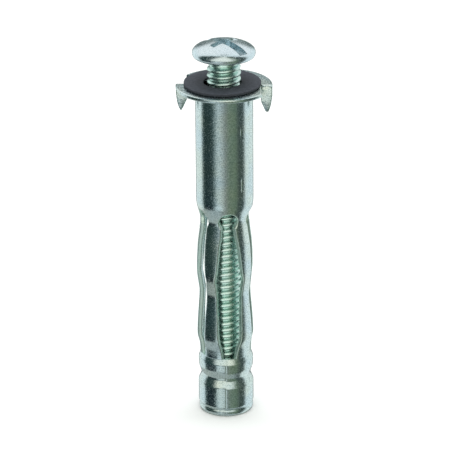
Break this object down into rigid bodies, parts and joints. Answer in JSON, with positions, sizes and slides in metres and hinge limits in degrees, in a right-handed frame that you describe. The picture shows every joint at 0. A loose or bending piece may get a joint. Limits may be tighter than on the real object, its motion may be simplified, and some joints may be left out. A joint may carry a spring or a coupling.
{
  "type": "wall anchor",
  "caption": "Expanding metal hollow-wall anchor: toothed flange, barrel, folding slotted legs, crimped collar with a captive nut, black fibre washer and combination-head machine screw.",
  "frame": {"origin": "on the screw's axis, in the plane of the flange's underside, where the flange meets the wall", "axes": "+Z along the axis, out of the wall towards the screw head; -Y is the front, with the seam slot 8 degrees to the right of it; the two teeth lie close to the X axis"},
  "size_m": [0.018, 0.018, 0.0743],
  "materials": {
    "zinc_plate": "bright blue-white zinc plate over drawn and rolled steel, faintly grained",
    "plain_steel": "duller zinc-plated turned steel",
    "black_fibre": "matte black vulcanised fibre sheet"
  },
  "bodies": {
    "sleeve": {"flanged_barrel": "zinc_plate"},
    "leg_1_upper": {"leg_1_upper": "zinc_plate"},
    "leg_1_lower": {"leg_1_lower": "zinc_plate"},
    "leg_2_upper": {"leg_2_upper": "zinc_plate"},
    "leg_2_lower": {"leg_2_lower": "zinc_plate"},
    "leg_3_upper": {"leg_3_upper": "zinc_plate"},
    "leg_3_lower": {"leg_3_lower": "zinc_plate"},
    "leg_4_upper": {"leg_4_upper": "zinc_plate"},
    "leg_4_lower": {"leg_4_lower": "zinc_plate"},
    "leg_5_upper": {"leg_5_upper": "zinc_plate"},
    "leg_5_lower": {"leg_5_lower": "zinc_plate"},
    "collar": {"crimped_collar": "zinc_plate", "captive_nut": "plain_steel"},
    "washer": {"fibre_washer": "black_fibre"},
    "screw": {"screw": "zinc_plate"}
  },
  "joints": [
    {"name": "leg_1_fold", "type": "hinge", "parent": "sleeve", "child": "leg_1_upper", "pos_m": [-0.00236, -0.00418, -0.0253], "axis": [-0.8704, 0.4924, 0], "range_deg": [0, 78]},
    {"name": "leg_1_knee", "type": "hinge", "parent": "leg_1_upper", "child": "leg_1_lower", "pos_m": [-0.00199, -0.00352, -0.03925], "axis": [-0.8704, 0.4924, 0], "range_deg": [-156, 0]},
    {"name": "leg_2_fold", "type": "hinge", "parent": "sleeve", "child": "leg_2_upper", "pos_m": [0.00342, -0.00336, -0.0253], "axis": [-0.7009, -0.7133, 0], "range_deg": [0, 78]},
    {"name": "leg_2_knee", "type": "hinge", "parent": "leg_2_upper", "child": "leg_2_lower", "pos_m": [0.00289, -0.00284, -0.03925], "axis": [-0.7009, -0.7133, 0], "range_deg": [-156, 0]},
    {"name": "leg_3_fold", "type": "hinge", "parent": "sleeve", "child": "leg_3_upper", "pos_m": [0.00428, 0.00218, -0.0253], "axis": [0.454, -0.891, 0], "range_deg": [0, 78]},
    {"name": "leg_3_knee", "type": "hinge", "parent": "leg_3_upper", "child": "leg_3_lower", "pos_m": [0.00361, 0.00184, -0.03925], "axis": [0.454, -0.891, 0], "range_deg": [-156, 0]},
    {"name": "leg_4_fold", "type": "hinge", "parent": "sleeve", "child": "leg_4_upper", "pos_m": [-0.00067, 0.00475, -0.0253], "axis": [0.9903, 0.1392, 0], "range_deg": [0, 78]},
    {"name": "leg_4_knee", "type": "hinge", "parent": "leg_4_upper", "child": "leg_4_lower", "pos_m": [-0.00056, 0.00401, -0.03925], "axis": [0.9903, 0.1392, 0], "range_deg": [-156, 0]},
    {"name": "leg_5_fold", "type": "hinge", "parent": "sleeve", "child": "leg_5_upper", "pos_m": [-0.00472, 0.00087, -0.0253], "axis": [0.1822, 0.9833, 0], "range_deg": [0, 78]},
    {"name": "leg_5_knee", "type": "hinge", "parent": "leg_5_upper", "child": "leg_5_lower", "pos_m": [-0.00398, 0.00074, -0.03925], "axis": [0.1822, 0.9833, 0], "range_deg": [-156, 0]},
    {"name": "collar_rise", "type": "hinge", "parent": "leg_1_lower", "child": "collar", "pos_m": [-0.00236, -0.00418, -0.0532], "axis": [-0.8704, 0.4924, 0], "range_deg": [0, 78]},
    {"name": "screw_turn", "type": "hinge", "parent": "sleeve", "child": "washer", "pos_m": [0, 0, 0.001], "axis": [0, 0, 1], "range_deg": [-1389, 1170]},
    {"name": "screw_travel", "type": "slide", "parent": "washer", "child": "screw", "axis": [0, 0, 1], "range_m": [-0.0049, 0.00413]}
  ],
  "couplings": [
    {"joint": "leg_1_knee", "follows": "leg_1_fold", "ratio": -2},
    {"joint": "leg_2_fold", "follows": "leg_1_fold", "ratio": 1},
    {"joint": "leg_2_knee", "follows": "leg_1_fold", "ratio": -2},
    {"joint": "leg_3_fold", "follows": "leg_1_fold", "ratio": 1},
    {"joint": "leg_3_knee", "follows": "leg_1_fold", "ratio": -2},
    {"joint": "leg_4_fold", "follows": "leg_1_fold", "ratio": 1},
    {"joint": "leg_4_knee", "follows": "leg_1_fold", "ratio": -2},
    {"joint": "leg_5_fold", "follows": "leg_1_fold", "ratio": 1},
    {"joint": "leg_5_knee", "follows": "leg_1_fold", "ratio": -2},
    {"joint": "collar_rise", "follows": "leg_1_fold", "ratio": 1},
    {"joint": "screw_turn", "follows": "screw_travel", "rad_per_m": 4947.4}
  ]
}
